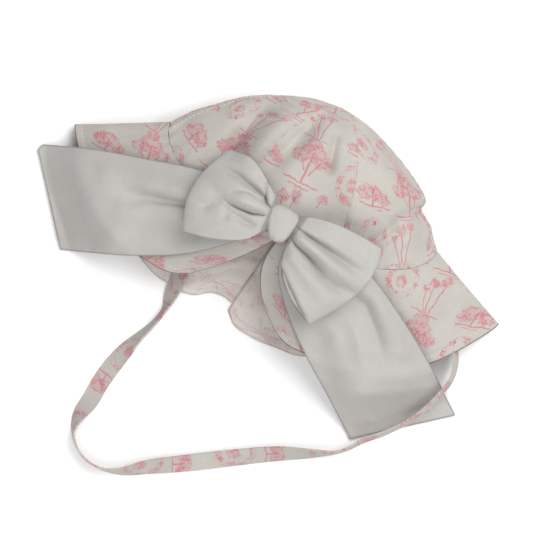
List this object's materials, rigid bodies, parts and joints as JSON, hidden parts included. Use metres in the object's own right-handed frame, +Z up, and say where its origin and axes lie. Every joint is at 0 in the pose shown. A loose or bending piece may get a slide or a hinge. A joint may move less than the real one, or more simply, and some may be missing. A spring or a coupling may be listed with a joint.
{
  "type": "baby sun hat",
  "caption": "baby's cloth sun hat with a wide soft brim, a bow over the opening at the back and a chin strap, lying on its front",
  "frame": {"origin": "on the surface that the hat lies on, midway between the ears of the hat, on the flat underside of the front of the crown", "axes": "+X runs from the hat's left ear to its right ear as seen from the back, +Y from the brim to the top of the crown, +Z up from the surface to the back of the hat"},
  "size_m": [0.3199, 0.28, 0.0736],
  "materials": {
    "printed_cotton": "plain weave, matt, pale ivory with a dusty pink print",
    "bow_cotton": "plain weave, matt, off-white"
  },
  "bodies": {
    "root": {"crown_back": "printed_cotton", "crown_back_left": "printed_cotton", "crown_back_right": "printed_cotton", "crown_front": "printed_cotton", "crown_front_left": "printed_cotton", "crown_front_right": "printed_cotton", "brim_left": "printed_cotton", "brim_right": "printed_cotton", "chin_strap": "printed_cotton", "bow_knot": "bow_cotton", "bow_loop_left": "bow_cotton", "bow_loop_right": "bow_cotton", "bow_tail_left": "bow_cotton", "bow_tail_right": "bow_cotton"}
  },
  "joints": []
}
